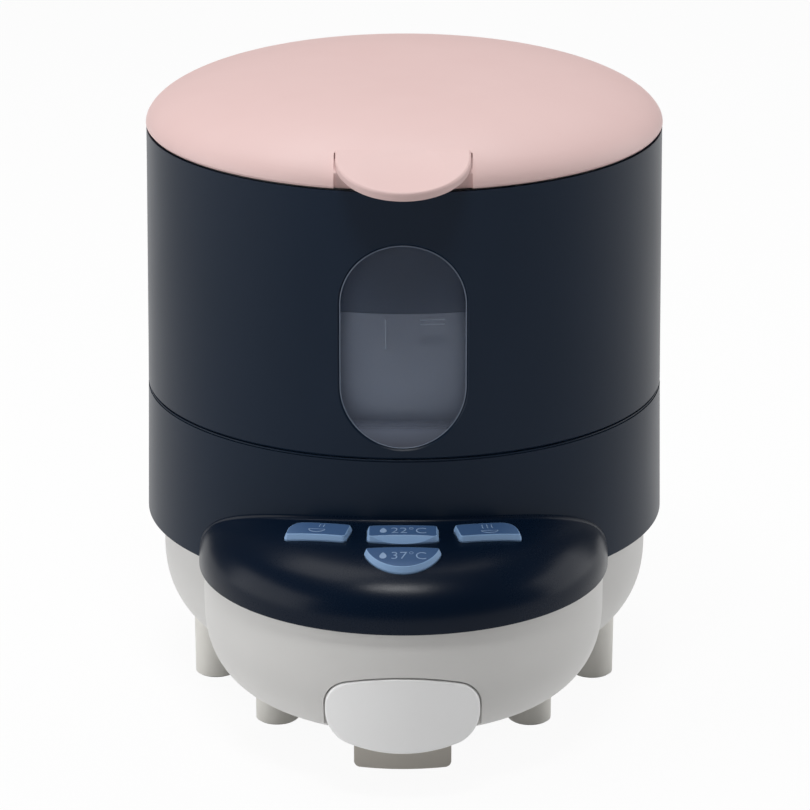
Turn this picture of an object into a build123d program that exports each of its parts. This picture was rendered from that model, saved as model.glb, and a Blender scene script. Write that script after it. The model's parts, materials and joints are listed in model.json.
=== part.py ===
"""Baby formula maker: lift-off water tank over a round housing with a button console,
a twin-bowl base on six feet and a pull-out nozzle under a front pull tab.

Millimetres, +Z up, front towards -Y.  Everything is modelled about the body axis with the
floor at z = 0, and moved at export so that the origin is the middle of the footprint box.
"""
from build123d import *
from math import cos, hypot, pi, radians, sin, sqrt
import os

os.makedirs("parts", exist_ok=True)

# ------------------------------------------------------------------ driving sizes
# Heights
base_height = 57.5          # floor to the seat between the white base and the lower shell
lower_shell_height = 45.3   # that seat to the tank shell's lower edge
tank_shell_height = 89.8    # tank shell, to the lid's lower edge
lid_rim_height = 0.9        # lid's lower edge to its widest ring
lid_dome_height = 17.5      # that ring to the top

# Round body: its radius at the seam, and how much it widens below and narrows above
body_r = 87.5
low_draft = 0.9
high_draft = 1.0
lid_overhang = 0.15         # the lid's widest ring beyond the tank shell's top edge
lid_rim_inset = 0.7         # how far the lid's lower edge turns in

# Walls and shared gaps
shell_wall = 2.6
base_wall = 2.6
lid_wall = 2.4
tank_wall = 2.0
console_wall = 2.5
seam_gap = 0.8              # shadow gap between lower shell and tank shell
lid_gap = 0.6               # shadow gap between tank shell and lid
part_gap = 0.2              # between pieces that are assembled and stay put
run_gap = 0.3               # between pieces that move against each other
arc_steps = 8               # spans of each superellipse curve

# Superellipse powers: (radial, vertical)
lid_powers = (3.13, 1.82)
console_powers = (2.62, 2.62)
base_powers = (2.4, 2.4)

# White base: a bowl under the body and a smaller lobe under the console
bowl_setback = 5.4          # bowl's side inside the lower shell's foot
bowl_flat_r = 37.0
bowl_depth = 47.0
bowl_straight = 12.7
lobe_reach = -29.5          # lobe and console axis beyond the body's side
lobe_r = 66.4
lobe_flat_r = 35.0
lobe_depth = 43.7
lobe_straight = 13.6
foot_r = 7.2
foot_draft = 0.4            # how much wider a foot is at its top
foot_lift = 0.5             # foot's lower face above the floor, carried by the pad
pad_r = 6.5
pad_thickness = 2.5
mid_foot = (65.0, -17.0)    # right-hand feet; left ones mirror
rear_foot = (42.0, 52.0)
front_foot_x = 42.5         # beside the lobe's axis

# Console: a bun about the lobe axis
console_r = 68.0
console_height = 26.0
console_flange = 2.0        # thickness of the flange that stands on the lobe's rim
console_flange_width = 4.4
console_cove_r = 1.3        # cove that sweeps the console up to the lower shell
console_cove_height = 1.2
console_rim = 0.5           # thickness of that cove's upper edge

# Buttons
press_tilt = 14.0           # press direction, leaning back from vertical
press_travel = 1.0
button_proud = 2.1
button_bevel = (0.65, 1.7)  # long bevel round a cap's top: across, down
button_edge_r = 0.35
button_corner_r = 1.4
button_lip = 1.2            # retaining lip round the cap
hole_gap = 0.35             # round each button
side_button = (21.3, 8.0)
side_button_turn = 17.0
side_button_x = 27.4
side_button_ahead = 35.5    # buttons, board and outlet are set out ahead of the lobe's axis
side_button_big_r = 4.6
upper_button = (23.2, 8.7)
upper_button_ahead = 40.5
upper_facet_lean = 45.0     # slope of the facet that gives the upper cap a straight front edge
lower_button_depth = 10.4
lower_button_ahead = 53.4
lower_button_r = 13.0
lower_button_corner_r = 1.3
stem_r = 2.0

# Control board
board_size = (96.0, 34.0)
board_ahead = 45.5
board_body_gap = 1.2            # trimmed round the lower shell
board_middle_z = 66.6
board_thickness = 1.6
board_r = 61.0                  # trimmed round the console's axis
switch_size = 6.2
switch_height = 3.4
post_r = 2.6
board_screw_r = 1.05
board_screw_head = (2.2, 1.6)
board_screw_reach = 3.6     # into the post, above the board
bore_end_gap = 0.3
post_places = [(43.0, 32.5), (22.0, 52.0)]      # x, and distance ahead

# Lower shell
ledge_thickness = 2.5
ledge_width = 8.8
deck_thickness = 3.0
locator_gap = 2.9           # locating ring to the tank shell's inner face
locator_wall = 2.5
locator_height = 5.0
wire_window = (60.0, 11.0)

# Tank module
tank_side_gap = 0.6         # clear tank to the tank shell's inner face, at the top
tank_floor_z = 6.0          # tank's underside above the deck
tank_foot_gap = 1.0         # tank's foot ring inside the locating ring
tank_foot_wall = 2.0
tank_flange_setback = 1.2   # flange's edge inside the tank shell's outer face
tank_flange_thickness = 2.0
tank_flange_drop = 0.4      # flange's top below the tank shell's top edge
window_half_width = 20.5
window_low = 3.7            # window's lower end above the tank shell's edge
window_height = 68.3
window_recess = 0.5
window_rim = 0.6            # chamfer round the window opening
seam_chamfer = 0.8

# Tank valve and its socket in the deck
spigot_r = 8.0
spigot_bore = 5.8
spigot_end_z = -10.0        # relative to the deck's top
spigot_seal_rise = 2.0      # groove above the spigot's end
spigot_seal_width = 2.2
spigot_seal_bulge = 0.9
spigot_groove_depth = 0.8
valve_lift = 2.5            # washer above the tank's floor while the tank is on
washer_thickness = 0.8
washer_inset = 0.2          # inside the head's edge
washer_hole_gap = 1.5       # round the stem
valve_stem_r = 1.6
valve_head_r = 7.6
valve_head_thickness = 1.5
valve_collar_r = 3.4
valve_collar_height = 1.5
cage_height = 3.0
cage_rise = 2.0             # above the deck's top
cage_rim = 1.1
cage_spoke = 1.4
cage_hub_r = 3.0
spring_wire_r = 0.35
spring_r = 2.5
spring_turns = 4
filter_r = 14.0
filter_height = 9.0
filter_wall = 1.0
filter_slots = 12
filter_slot = (2.2, 4.4)    # width, height
filter_slot_rise = 1.5
filter_edge_r = 2.5
socket_wall = 2.0
socket_flange_r = 15.0
socket_flange_thickness = 2.0
socket_depth = 16.0
socket_pin_r = 1.5
socket_pin_rise = 2.0       # pin's top above the spigot's end
socket_drain_x = 4.0        # drain beside the pin
socket_drain_length = 6.0

# Lid
liner_margin = 1.25         # liner's edge inside the lid's inner face
liner_thickness = 2.0
plug_gap = 0.7              # plug to the clear tank's inner face
plug_wall = 2.0
plug_depth = 6.5
seal_bulge = 0.4            # lid seal stands this far out of its groove
lid_groove_depth = 1.0
lid_groove_rise = 2.0       # groove above the plug's lower edge
lid_seal_width = 2.0
tab_width = 43.2
tab_seat = 11.15            # tab's rear edge inside the lid's widest ring
tab_reach = 13.35           # tab's front edge beyond that ring
tab_rear_z = 10.65          # tab's top face at its rear edge, above the lid's lower edge
tab_slope = 17.1
tab_thickness = 3.3
tab_edge_r = 0.9
tab_dish_r = 160.0          # shallow spherical dish in the tab's top
tab_dish_depth = 0.6
tab_dish_ahead = 11.0
tab_gap = 0.15
tab_side_gap = 0.45
rim_setback = 1.8           # how far the rim steps back under the tab
hinge_r = 3.0
hinge_pin_r = 1.25
hinge_clearance = 0.4
hinge_drop = 0.8            # hinge axis below the lid's lower edge
ear_half_width = 16.0
knuckle_width = 9.0
hinge_side_gap = 0.4
hinge_fit = 0.05
hinge_pin_half_length = 6.0
hinge_arm_r = 12.0          # web that joins each knuckle to the shell
hinge_arm_drop = 10.0

# Outlet module
lip_half_width = 24.9
lip_top_z = 41.7
lip_bottom_z = 17.4
lip_top_arc_r = 70.0
lip_bottom_arc_r = 66.0
lip_top_corner_r = 9.0
lip_bottom_corner_r = 10.0
lip_proud = 0.1             # the lip's top beyond the lobe's side wall
lip_flare = 4.5             # how far its lower edge swings out
lip_thickness = 3.2
lip_edge_r = 0.9
neck_half_width = 12.8      # neck between the lip and the nozzle block
neck_low_z = 23.2
neck_height = 12.0
notch_gap = 0.6
notch_depth = 16.0          # from the lobe's side wall inwards
nozzle_half_width = 15.8
nozzle_bottom = 6.0
nozzle_top = 36.0
nozzle_front_r = 56.2       # front face, round the lobe's axis
nozzle_rear_ahead = 8.0
nozzle_edge_r = 1.9
channel_gap = 0.5
pocket_wall = 2.2
rail_width = 1.7
rail_height = 2.4
rail_z = 16.0
rail_start = 24.0           # behind the nozzle's front face
outlet_z = 27.0
outlet_spigot_r = 3.6
outlet_spigot_length = 8.0
outlet_bore = 2.0
outlet_seal_width = 1.8
outlet_seal_bulge = 0.4
outlet_groove_depth = 0.7
outlet_seal_setback = 4.0   # behind the spigot's end
outlet_flange = 2.0
outlet_socket_wall = 1.7
outlet_socket_length = 14.0
tip_r = 3.4
tip_bore = 2.0
tip_length = 10.0
tips_ahead = [37.0, 24.0]

# Inner works
chassis_side_gap = 1.8      # chassis plate to the lower shell's inner face
chassis_thickness = 3.0
pillar_r = 4.2
pillar_inset = 13.0         # screw pillars inside the bowl's side
pillar_angles = [40.0, 140.0, 205.0, 335.0]
screw_r = 1.5
screw_head_r = 3.0
screw_head_height = 2.2
screw_fit = 0.05
chassis_screw_reach = 12.0  # into the pillars
foot_screw_margin = 3.0     # tip below the boss's top
screw_end_gap = 1.0         # bore beyond a screw's tip
boss_r = 4.2
boss_height = 11.0
heater_r = 23.0
heater_height = 30.0
heater_edge_r = 3.0
heater_groove = (2.0, 3.0)  # cooling grooves: depth, width
heater_groove_pitch = 8.0
heater_grooves = 3
heater_spot = (-40.0, 18.0)
pump_r = 14.0
pump_length = 46.0
pump_nose = 6.0
pump_spot = (44.0, 14.0)
pump_bed = 2.0
meter_r = 11.0
meter_height = 20.0
meter_x = 4.0
meter_gap = 0.6             # meter to the power inlet behind it
steam_valve_size = (20.0, 22.0, 26.0)
steam_valve_x = -40.0
steam_valve_behind = 3.0    # behind the lobe's axis
power_board_size = (84.0, 52.0)
power_board_drop = 8.0
power_board_spot = (0.0, 18.0)
transformer_size = (24.0, 20.0, 16.0)
transformer_x = -22.0
relay_size = (10.0, 18.0, 12.0)
relay_places = [4.0, 18.0]
capacitor_r = 6.0
capacitor_height = 14.0
capacitor_place = (32.0, 12.0)
spacer_r = 3.0
spacer_inset = 5.0
hose_r = 3.0
hose_bore = 1.7
hose_bend = 9.0
hose_low = 5.5              # middle of the low hoses above the chassis
stub_r = 1.6                # pipe stub that a hose is pushed over
stub_length = 5.0
stub_wall = 0.6
port_spacing = 6.0          # side port from a unit's middle
hose_hole_behind = 36.0     # outlet hose's way through the chassis, behind the pocket
inlet_size = (26.0, 19.0)
inlet_depth = 20.0
inlet_z = 17.0              # middle, above the seat
inlet_socket = (17.0, 9.5)
inlet_socket_depth = 14.0
inlet_pin_r = 1.2
inlet_pin_gap = 8.6
inlet_pin_recess = 4.0
inlet_corner_r = 3.0
inlet_proud = 1.0

# ------------------------------------------------------------------ radii and levels worked out
shell_r_bottom = body_r + low_draft
shell_r_seam = body_r
shell_r_top = body_r - high_draft
lid_r = shell_r_top + lid_overhang
bowl_r = shell_r_bottom - bowl_setback
lobe_offset = body_r + lobe_reach
foot_spots = [mid_foot, (front_foot_x, -lobe_offset), rear_foot]
side_button_spot = (side_button_x, -lobe_offset - side_button_ahead)
upper_button_y = -lobe_offset - upper_button_ahead
lower_button_y = -lobe_offset - lower_button_ahead
post_spots = [(x, -lobe_offset - ahead) for x, ahead in post_places]
locator_r = shell_r_seam - shell_wall - locator_gap
tank_r = shell_r_top - shell_wall - tank_side_gap
tank_foot_r = locator_r - locator_wall - tank_foot_gap
tank_flange_r = shell_r_top - tank_flange_setback
liner_r = lid_r - lid_wall - liner_margin
plug_r = tank_r - tank_wall - plug_gap
tab_rear_y = tab_seat - lid_r
tab_front_y = -lid_r - tab_reach
chassis_r = shell_r_bottom - shell_wall - chassis_side_gap
pillar_circle = bowl_r - pillar_inset
meter_spot = (meter_x, shell_r_bottom - inlet_depth - meter_gap - meter_r)
seam_z = base_height + lower_shell_height
lid_z = seam_z + tank_shell_height
deck_z = seam_z - seam_gap
tank_top_z = lid_z - lid_gap
chassis_z = base_height + ledge_thickness
chassis_top = chassis_z + chassis_thickness
hinge_y = shell_r_top + hinge_r + hinge_clearance
hinge_z = lid_z - hinge_drop
press_axis = (0, -sin(radians(press_tilt)), cos(radians(press_tilt)))
nozzle_front_y = -lobe_offset - nozzle_front_r
nozzle_rear_y = -lobe_offset - nozzle_rear_ahead
pocket_rear_y = nozzle_rear_y + 4.0
tip_spots = [-lobe_offset - ahead for ahead in tips_ahead]
steam_valve_spot = (steam_valve_x, -lobe_offset + steam_valve_behind)
hose_hole = (0, pocket_rear_y + hose_hole_behind)

nodes = {}


# ------------------------------------------------------------------ shared shapes
def turned(curve, x=0.0, y=0.0):
    """Solid of revolution of a closed (radius, height) curve about an upright axis at x, y."""
    return Pos(x, y, 0) * Rot(0, 0, 90) * revolve(Plane.XZ * make_face(curve), Axis.Z)


def corner_curve(side, flat, powers):
    """Superellipse quarter from an upright side point to a level flat point, both (r, z)."""
    reach, rise = side[0] - flat[0], flat[1] - side[1]
    points = [side]
    for step in range(1, arc_steps):
        near = (step / arc_steps) ** (powers[1] / 2)
        far = (1 - step / arc_steps) ** (powers[0] / 2)
        angle = pi / 2 * near / (near + far)     # spaces the points about evenly
        points.append((flat[0] + reach * cos(angle) ** (2 / powers[0]),
                       side[1] + rise * sin(angle) ** (2 / powers[1])))
    return Spline(*points, flat, tangents=[(0, rise), (-reach, 0)], tangent_scalars=[1, 1])


def ring(r_out, r_in, z_low, z_high, x=0.0, y=0.0):
    """Upright ring, or a disc where r_in is zero."""
    body = Cylinder(r_out, z_high - z_low, align=(Align.CENTER, Align.CENTER, Align.MIN))
    if r_in > 0:
        body -= Cylinder(r_in, z_high - z_low, align=(Align.CENTER, Align.CENTER, Align.MIN))
    return Pos(x, y, z_low) * body


def block(width, depth, height, x=0.0, y=0.0, z=0.0):
    """Box centred at x, y that stands on z."""
    return Pos(x, y, z) * Box(width, depth, height, align=(Align.CENTER, Align.CENTER, Align.MIN))


def along_y(r, y_low, y_high, x=0.0, z=0.0):
    """Round bar along Y."""
    return Pos(x, (y_low + y_high) / 2, z) * Rot(90, 0, 0) * Cylinder(r, y_high - y_low)


def along_x(r, x_low, x_high, y=0.0, z=0.0):
    """Round bar along X."""
    return Pos((x_low + x_high) / 2, y, z) * Rot(0, 90, 0) * Cylinder(r, x_high - x_low)


def mirrored(spots):
    """Right-hand spots followed by their left-hand mirror images."""
    return spots + [(-x, y) for x, y in spots]


def group(pieces):
    """Separate solids that share one node."""
    return Compound([solid for piece in pieces for solid in piece.solids()])


def screw(x, y, head_z, tip_z, head_up):
    """Round-headed screw; head_z is the face that its head bears on."""
    head_low = head_z if head_up else head_z - screw_head_height
    shank = ring(screw_r, 0, min(head_z, tip_z), max(head_z, tip_z), x, y)
    return shank + ring(screw_head_r, 0, head_low, head_low + screw_head_height, x, y)


def hose(*points):
    """Tube along straight runs joined by tangent arcs."""
    path = FilletPolyline(*points, radius=hose_bend)
    start = Plane(origin=path @ 0, z_dir=path % 0)
    return sweep(start * (Circle(hose_r) - Circle(hose_bore)), path=path)


# ------------------------------------------------------------------ forms that fits are taken from
def shell_radius(z):
    """Outer radius of the round body at height z."""
    if z <= seam_z:
        share = (z - base_height) / lower_shell_height
        return shell_r_bottom + (shell_r_seam - shell_r_bottom) * share
    share = (z - seam_z) / tank_shell_height
    return shell_r_seam + (shell_r_top - shell_r_seam) * share


def shell_form(z_low, z_high, inset):
    """Solid of the round body between two heights, inset by a wall (or grown, if negative)."""
    return turned(Polyline(
        (0, z_low), (shell_radius(z_low) - inset, z_low),
        (shell_radius(z_high) - inset, z_high), (0, z_high), close=True))


def lid_form(inset):
    """Solid inside the lid's dome, inset by a wall."""
    rim_z = lid_z + lid_rim_height
    side, top = (lid_r - inset, rim_z), (0, rim_z + lid_dome_height - inset)
    curve = corner_curve(side, top, lid_powers)
    curve += Polyline(top, (0, lid_z), (lid_r - lid_rim_inset - inset, lid_z), side)
    return turned(curve)


def console_form(inset, rise=0.0):
    """The bun that the console is cut from, inset by a wall (or grown), or only raised."""
    side, top = (console_r - inset, base_height), (0, base_height + console_height - inset + rise)
    curve = corner_curve(side, top, console_powers) + Polyline(top, (0, base_height), side)
    return turned(curve, y=-lobe_offset)


def bowl_form(r, flat_r, depth, straight, inset, y):
    """Round bowl, open solid up to the seat height."""
    flat = (flat_r, base_height - depth + inset)
    side = (r - inset, base_height - straight)
    curve = corner_curve(side, flat, base_powers)
    curve += Polyline(flat, (0, flat[1]), (0, base_height), (r - inset, base_height), side)
    return turned(curve, y=y)


def base_form(inset):
    """Both bowls of the base as one solid, inset by the wall."""
    rear = bowl_form(bowl_r, bowl_flat_r, bowl_depth, bowl_straight, inset, 0)
    front = bowl_form(lobe_r, lobe_flat_r, lobe_depth, lobe_straight, inset, -lobe_offset)
    return rear + front


def button_plane(x, y):
    """Sketch plane square to the press direction, on the console's surface over x, y."""
    share = hypot(x, y + lobe_offset) / console_r
    z = base_height + console_height * (1 - share ** console_powers[0]) ** (1 / console_powers[1])
    return Plane(origin=(x, y, z), x_dir=(1, 0, 0), z_dir=press_axis)


# ------------------------------------------------------------------ lid
def tab_plane():
    """Plane of the finger tab's top face, origin at the middle of its rear edge."""
    return Plane(
        origin=(0, tab_rear_y, lid_z + tab_rear_z), x_dir=(1, 0, 0),
        z_dir=(0, -sin(radians(tab_slope)), cos(radians(tab_slope))))


def tab_outline(gap):
    """D-shaped plan of the finger tab, straight at the rear, grown by a gap."""
    length = (tab_rear_y - tab_front_y) / cos(radians(tab_slope))
    r = tab_width / 2
    straight = length - r
    plan = Pos(0, -straight / 2) * Rectangle(tab_width, straight)
    plan += Pos(0, -straight) * (Circle(r) & Pos(0, -r) * Rectangle(tab_width, tab_width))
    return offset(plan, gap) if gap else plan


def tab_pocket(grow):
    """Space taken out of the dome for the finger tab, grown by a wall."""
    half = tab_width / 2 + tab_side_gap + grow
    depth = lid_r
    high = Pos(0, -depth / 2 + tab_gap + grow, lid_dome_height / 2 - tab_thickness - grow) * Box(
        2 * half, depth, lid_dome_height)
    above = tab_plane() * high
    low_r = lid_r - rim_setback - grow
    under = block(2 * half, lid_r, lid_dome_height, 0, -lid_r, lid_z - 1)
    return above + (under - ring(low_r, 0, lid_z - 2, lid_z + lid_dome_height))


def make_lid():
    cover = lid_form(0) - tab_pocket(0) - (lid_form(lid_wall) - tab_pocket(lid_wall))
    seat_z = lid_z + liner_thickness
    ear = along_x(hinge_r, -ear_half_width, ear_half_width, hinge_y, hinge_z)
    web_reach = 5.0             # into the lid's wall
    web = block(2 * ear_half_width, hinge_y - lid_r + web_reach, hinge_r - hinge_drop,
                0, (hinge_y + lid_r - web_reach) / 2, lid_z)
    ear = ear + web - along_x(hinge_pin_r + hinge_fit, -ear_half_width, ear_half_width,
                              hinge_y, hinge_z)
    ear -= lid_form(lid_wall / 2)
    cover += ear
    cover -= ring(liner_r + part_gap, 0, lid_z - 5, seat_z)
    nodes["lid_cover"] = cover

    tab = extrude(tab_plane() * tab_outline(0), amount=-tab_thickness)
    top_edges = tab.edges().filter_by(GeomType.LINE, reverse=True)
    tab = fillet(top_edges, tab_edge_r)
    dish = tab_plane() * (Pos(0, -tab_dish_ahead, tab_dish_r - tab_dish_depth) * Sphere(tab_dish_r))
    nodes["lid_tab"] = tab - dish

    groove_z = lid_z - plug_depth + lid_groove_rise
    groove_r = plug_r - lid_groove_depth
    plug = ring(plug_r, plug_r - plug_wall, lid_z - plug_depth, lid_z)
    groove = ring(plug_r + 1, groove_r, groove_z, groove_z + lid_seal_width)
    nodes["lid_liner"] = ring(liner_r, 0, lid_z, seat_z) + (plug - groove)
    nodes["lid_seal"] = ring(plug_r + seal_bulge, groove_r, groove_z, groove_z + lid_seal_width)
    pins = [
        along_x(hinge_pin_r, middle - hinge_pin_half_length, middle + hinge_pin_half_length,
                hinge_y, hinge_z)
        for middle in (ear_half_width, -ear_half_width)
    ]
    nodes["lid_hinge_pins"] = group(pins)


# ------------------------------------------------------------------ tank module
def window_outline(grow):
    """Pill outline of the window in the XZ plane."""
    width = 2 * (window_half_width + grow)
    middle = seam_z + window_low + window_height / 2
    pill = SlotOverall(window_height + 2 * grow, width)
    return Plane.XZ * Pos(0, middle) * Rot(0, 0, 90) * pill


def window_prism(grow):
    """Window outline carried through the front wall."""
    return extrude(window_outline(grow), amount=shell_r_bottom + 5)


def make_tank_shell():
    wall = shell_form(seam_z, tank_top_z, 0) - shell_form(seam_z, tank_top_z, shell_wall)
    low_edge = wall.edges().filter_by(GeomType.CIRCLE).group_by(Axis.Z)[0].sort_by(SortBy.LENGTH)[-1]
    wall = chamfer(low_edge, seam_chamfer)
    step_z = tank_top_z - tank_flange_drop - tank_flange_thickness
    wall -= ring(tank_flange_r + part_gap, 0, step_z, tank_top_z + 1)
    window_cut = window_prism(0)
    wall -= window_cut
    sharp = [
        edge for edge in wall.edges()
        if abs(edge.center().X) <= window_half_width + 1
        and seam_z + window_low - 1 < edge.center().Z < seam_z + window_low + window_height + 1
        and edge.center().Y < -shell_r_top + 4
        and hypot((edge @ 0.5).X, (edge @ 0.5).Y) > shell_radius((edge @ 0.5).Z) - 0.2
    ]
    wall = chamfer(sharp, window_rim)
    inner = ear_half_width + hinge_side_gap
    for side in (1, -1):
        low, high = sorted((side * inner, side * (inner + knuckle_width)))
        barrel = along_x(hinge_r, low, high, hinge_y, hinge_z)
        middle = (low + high) / 2
        arm = block(knuckle_width, 2 * hinge_r, hinge_arm_drop,
                    middle, hinge_y - hinge_r, hinge_z - hinge_arm_drop)
        arm &= along_x(hinge_arm_r, low, high, hinge_y, hinge_z)
        knuckle = barrel + arm - along_x(hinge_pin_r, low - 1, high + 1, hinge_y, hinge_z)
        knuckle -= shell_form(seam_z, lid_z, shell_wall / 2)
        knuckle &= ring(hinge_y + hinge_r + 1, 0, seam_z, hinge_z + hinge_r)
        wall += knuckle - ring(lid_r + 1, 0, tank_top_z, lid_z + 5)
    nodes["tank_shell"] = wall


def make_window():
    skin = shell_form(seam_z, tank_top_z, window_recess)
    skin -= shell_form(seam_z, tank_top_z, shell_wall)
    nodes["tank_window"] = skin & window_prism(-part_gap)


def make_water_tank():
    floor_z = deck_z + tank_floor_z
    flange_top = tank_top_z - tank_flange_drop
    cup = ring(tank_r, 0, floor_z, flange_top)
    cup -= ring(tank_r - tank_wall, 0, floor_z + tank_wall, flange_top + 1)
    cup += ring(tank_flange_r, tank_r - tank_wall, flange_top - tank_flange_thickness, flange_top)
    cup += ring(tank_foot_r, tank_foot_r - tank_foot_wall, deck_z, floor_z)
    cup += ring(spigot_r, 0, deck_z + spigot_end_z, floor_z)
    cup -= ring(spigot_bore, 0, deck_z + spigot_end_z - 1, floor_z + tank_wall + 1)
    groove_z = deck_z + spigot_end_z + spigot_seal_rise
    groove_r, groove_top = spigot_r - spigot_groove_depth, groove_z + spigot_seal_width
    nodes["water_tank"] = cup - ring(spigot_r + 1, groove_r, groove_z, groove_top)
    nodes["tank_seal"] = ring(spigot_r + spigot_seal_bulge, groove_r, groove_z, groove_top)

    inside_z = floor_z + tank_wall
    cap = ring(filter_r, 0, inside_z, inside_z + filter_height)
    cap = fillet(cap.edges().group_by(Axis.Z)[-1], filter_edge_r)
    cap -= ring(filter_r - filter_wall, 0, inside_z, inside_z + filter_height - filter_wall)
    width, height = filter_slot
    slot = block(6 * filter_wall, width, height, filter_r, 0, inside_z + filter_slot_rise)
    for index in range(filter_slots):
        cap -= Rot(0, 0, 360 / filter_slots * index) * slot
    nodes["tank_filter"] = cap


def make_valve():
    """Tank valve: cage pressed into the spigot, plunger held up by the socket's pin, spring."""
    cage_low = deck_z + cage_rise
    cage = ring(spigot_bore, spigot_bore - cage_rim, cage_low, cage_low + cage_height)
    cage += ring(cage_hub_r, 0, cage_low, cage_low + cage_height)
    for index in range(3):
        reach = spigot_bore - cage_rim / 2
        cage += Rot(0, 0, 120 * index) * block(reach, cage_spoke, cage_height, reach / 2, 0, cage_low)
    cage -= ring(valve_stem_r + screw_fit, 0, cage_low - 1, cage_low + cage_height + 1)
    nodes["valve_cage"] = cage

    stem_low = deck_z + spigot_end_z + socket_pin_rise
    head_low = deck_z + tank_floor_z + tank_wall + valve_lift + washer_thickness
    plunger = ring(valve_stem_r, 0, stem_low, head_low)
    plunger += ring(valve_collar_r, 0, stem_low, stem_low + valve_collar_height)
    plunger += ring(valve_head_r, 0, head_low, head_low + valve_head_thickness)
    nodes["valve_plunger"] = plunger
    nodes["valve_washer"] = ring(valve_head_r - washer_inset, valve_stem_r + washer_hole_gap,
                                 head_low - washer_thickness, head_low)

    low, high = stem_low + valve_collar_height, cage_low
    height = high - low - 2 * spring_wire_r - 2 * part_gap
    coil = Helix(pitch=height / spring_turns, height=height, radius=spring_r)
    wire = sweep(Plane(origin=coil @ 0, z_dir=coil % 0) * Circle(spring_wire_r), path=coil)
    nodes["valve_spring"] = Pos(0, 0, low + spring_wire_r + part_gap) * wire


# ------------------------------------------------------------------ lower shell and console
def inlet_hole(gap):
    """Opening for the power inlet in the rear of the lower shell, grown by a gap."""
    reach = inlet_depth + inlet_proud
    centre_y = shell_r_bottom + inlet_proud - reach / 2
    body = Box(inlet_size[0] + 2 * gap, reach + 2 * gap, inlet_size[1] + 2 * gap)
    body = fillet(body.edges().filter_by(Axis.Y), inlet_corner_r)
    return Pos(0, centre_y, base_height + inlet_z) * body


def make_lower_shell():
    body = shell_form(base_height, deck_z, 0)
    body -= shell_form(base_height + ledge_thickness, deck_z - deck_thickness, shell_wall)
    body -= ring(shell_r_bottom - ledge_width - shell_wall, 0, base_height - 1, chassis_z + 1)
    body += ring(locator_r, locator_r - locator_wall, deck_z, deck_z + locator_height)
    body -= ring(socket_bore() + socket_wall + part_gap, 0, deck_z - 2 * deck_thickness, deck_z + 1)
    body -= block(wire_window[0], 30, wire_window[1], 0, -shell_r_bottom, chassis_top)
    body -= inlet_hole(part_gap)
    nodes["lower_shell"] = body


def make_console():
    wall_r = part_gap + console_rim
    joined = console_form(0) + shell_form(base_height, deck_z, -wall_r)
    meeting = [edge for edge in joined.edges().filter_by(GeomType.CIRCLE, reverse=True)
               if abs(hypot((edge @ 0.3).X, (edge @ 0.3).Y) - shell_radius((edge @ 0.3).Z) - wall_r) < 0.01
               and base_height < (edge @ 0.3).Z < deck_z and abs((edge @ 0.3).X - (edge @ 0.7).X) > 1]
    swept = fillet(meeting, console_cove_r) & console_form(0, console_cove_height)
    outer = swept - shell_form(base_height, deck_z, -part_gap)
    hollow = console_form(console_wall) - shell_form(base_height, deck_z, -part_gap)
    hollow -= ring(console_r, console_r - console_flange_width, base_height,
                   base_height + console_flange, y=-lobe_offset)
    console = outer - hollow
    for x, y in mirrored(post_spots):
        post = button_plane(x, y) * Cylinder(post_r, 60)
        post &= console_form(console_wall / 2)
        console += post - board_space()
    for outline, x, y, turn in button_specs():
        plane = button_plane(x, y) * Rot(0, 0, turn)
        console -= extrude(plane * offset(outline, hole_gap), amount=12, both=True)
    nodes["control_console"] = console


# ------------------------------------------------------------------ buttons and board
def side_outline(side):
    """Oblong cap whose outer rear corner is well rounded."""
    shape = Rectangle(*side_button)
    corners = shape.vertices()
    big = corners.sort_by_distance((side * side_button[0] / 2, side_button[1] / 2))[0]
    shape = fillet(big, side_button_big_r)
    small = shape.vertices().filter_by(
        lambda v: abs(abs(v.X) - side_button[0] / 2) < 1e-3 and abs(abs(v.Y) - side_button[1] / 2) < 1e-3)
    return fillet(small, button_corner_r)


def upper_outline():
    """Oblong cap whose front edge is round the lobe's axis."""
    front_r = -upper_button_y - lobe_offset + upper_button[1] / 2
    disc = Pos(0, front_r - upper_button[1] / 2) * Circle(front_r)
    shape = Rectangle(*upper_button) & disc
    return fillet(shape.vertices(), button_corner_r)


def lower_outline():
    """Half-moon cap, straight at the rear."""
    disc = Pos(0, lower_button_r - lower_button_depth / 2) * Circle(lower_button_r)
    shape = disc & Rectangle(2 * lower_button_r, lower_button_depth)
    return fillet(shape.vertices(), lower_button_corner_r)


def upper_facet():
    """Space in front of the facet that leaves the upper cap's top a straight front edge."""
    inset = button_bevel[0]
    front_r = upper_button_ahead + upper_button[1] / 2 - inset
    edge_ahead = sqrt(front_r ** 2 - (upper_button[0] / 2 - inset) ** 2)
    cap_plane = button_plane(0, upper_button_y)
    edge = cap_plane.from_local_coords((0, upper_button_ahead - edge_ahead, button_proud))
    lean = radians(press_tilt + upper_facet_lean)
    facet = Plane(origin=edge, x_dir=(1, 0, 0), z_dir=(0, -sin(lean), cos(lean)))
    return facet * Box(60, 60, 20, align=(Align.CENTER, Align.CENTER, Align.MIN))


def button_specs():
    """(outline, x, y, turn) of each button, in the order of button_names."""
    x, y = side_button_spot
    return [
        (side_outline(-1), -x, y, side_button_turn * -1),
        (side_outline(1), x, y, side_button_turn),
        (upper_outline(), 0, upper_button_y, 0),
        (lower_outline(), 0, lower_button_y, 0),
    ]


button_names = ["button_warm_dish", "button_steam", "button_22_degrees", "button_37_degrees"]


def board_plane():
    """Plane of the control board's top face."""
    middle_y = -lobe_offset - board_ahead
    return Plane(origin=(0, middle_y, board_middle_z), x_dir=(1, 0, 0), z_dir=press_axis)


def board_space():
    """Everything from the board's top face downwards."""
    return board_plane() * Pos(0, 0, -50) * Box(200, 200, 100)


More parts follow.
